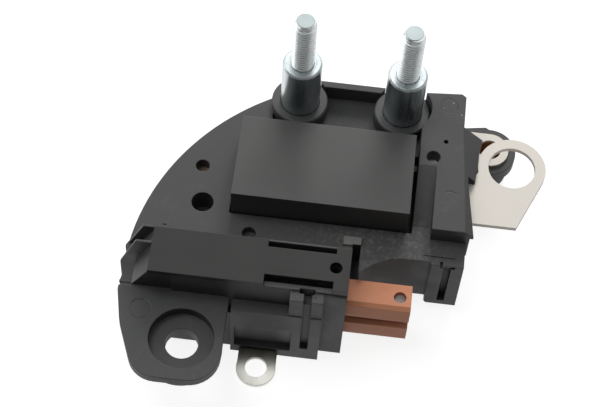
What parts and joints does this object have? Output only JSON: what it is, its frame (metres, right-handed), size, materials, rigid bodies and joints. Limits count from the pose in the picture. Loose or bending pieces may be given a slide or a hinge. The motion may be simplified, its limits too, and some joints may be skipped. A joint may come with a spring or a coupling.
{
  "type": "alternator voltage regulator with brush holder",
  "caption": "Flat moulded alternator regulator with control module, sprung brushes in a side tower, upright studs in spacer sleeves, a mounting ear and ring terminals.",
  "frame": {"origin": "on the slip ring (rotor) axis, level with the underside of the brush tower", "axes": "+X is the way the brushes point, +Y runs from the slip ring axis towards the studs, +Z is the way the studs point"},
  "size_m": [0.088, 0.0756, 0.0496],
  "materials": {
    "housing": "moulded glass-filled black plastic, satin with moulding marks",
    "cover": "slightly warmer black plastic sheet, smooth",
    "module_case": "smooth dark grey plastic, satin",
    "potting": "black potting resin, slightly soft",
    "spreader": "milled aluminium plate",
    "substrate": "white ceramic, unglazed",
    "chips": "moulded component bodies",
    "capacitor": "brown ceramic body",
    "zinc_steel": "bright bluish zinc plating",
    "bush": "smooth black insulating plastic",
    "carbon": "copper-graphite brush, fine pressed grain",
    "spring_steel": "drawn spring wire",
    "copper": "bare copper",
    "tin_copper": "tin-plated copper sheet, satin",
    "tin_dark": "tinned sheet, rolled grain",
    "insert_brass": "brown aged brass, turned"
  },
  "bodies": {
    "regulator": {"housing": "housing", "brush_cover": "cover", "module_case": "module_case", "module_potting": "potting", "heat_spreader": "spreader", "hybrid_substrate": "substrate", "power_transistor": "chips", "control_chip": "chips", "freewheel_diode": "chips", "filter_capacitor": "capacitor", "module_leads": "tin_copper", "stud_left": "zinc_steel", "stud_right": "zinc_steel", "sleeve_left": "zinc_steel", "sleeve_right": "zinc_steel", "bush_left": "bush", "bush_right": "bush", "spring_upper": "spring_steel", "spring_lower": "spring_steel", "pigtail_upper": "copper", "pigtail_lower": "copper", "supply_bus_bar": "copper", "field_bus_bar": "copper", "ring_terminal": "tin_copper", "eyelet_terminal": "tin_dark", "small_ring_terminal": "tin_copper", "lug_insert": "insert_brass"},
    "upper_brush": {"brush_upper": "carbon"},
    "lower_brush": {"brush_lower": "carbon"}
  },
  "joints": [
    {"name": "brush_upper_slide", "type": "slide", "parent": "regulator", "child": "upper_brush", "axis": [1, 0, 0], "range_m": [-0.0139, 0], "stiffness_N_per_m": 180, "springref_m": 0.009, "deforming": ["spring_upper", "pigtail_upper"]},
    {"name": "brush_lower_slide", "type": "slide", "parent": "regulator", "child": "lower_brush", "axis": [1, 0, 0], "range_m": [-0.0139, 0], "stiffness_N_per_m": 180, "springref_m": 0.009, "deforming": ["spring_lower", "pigtail_lower"]}
  ]
}
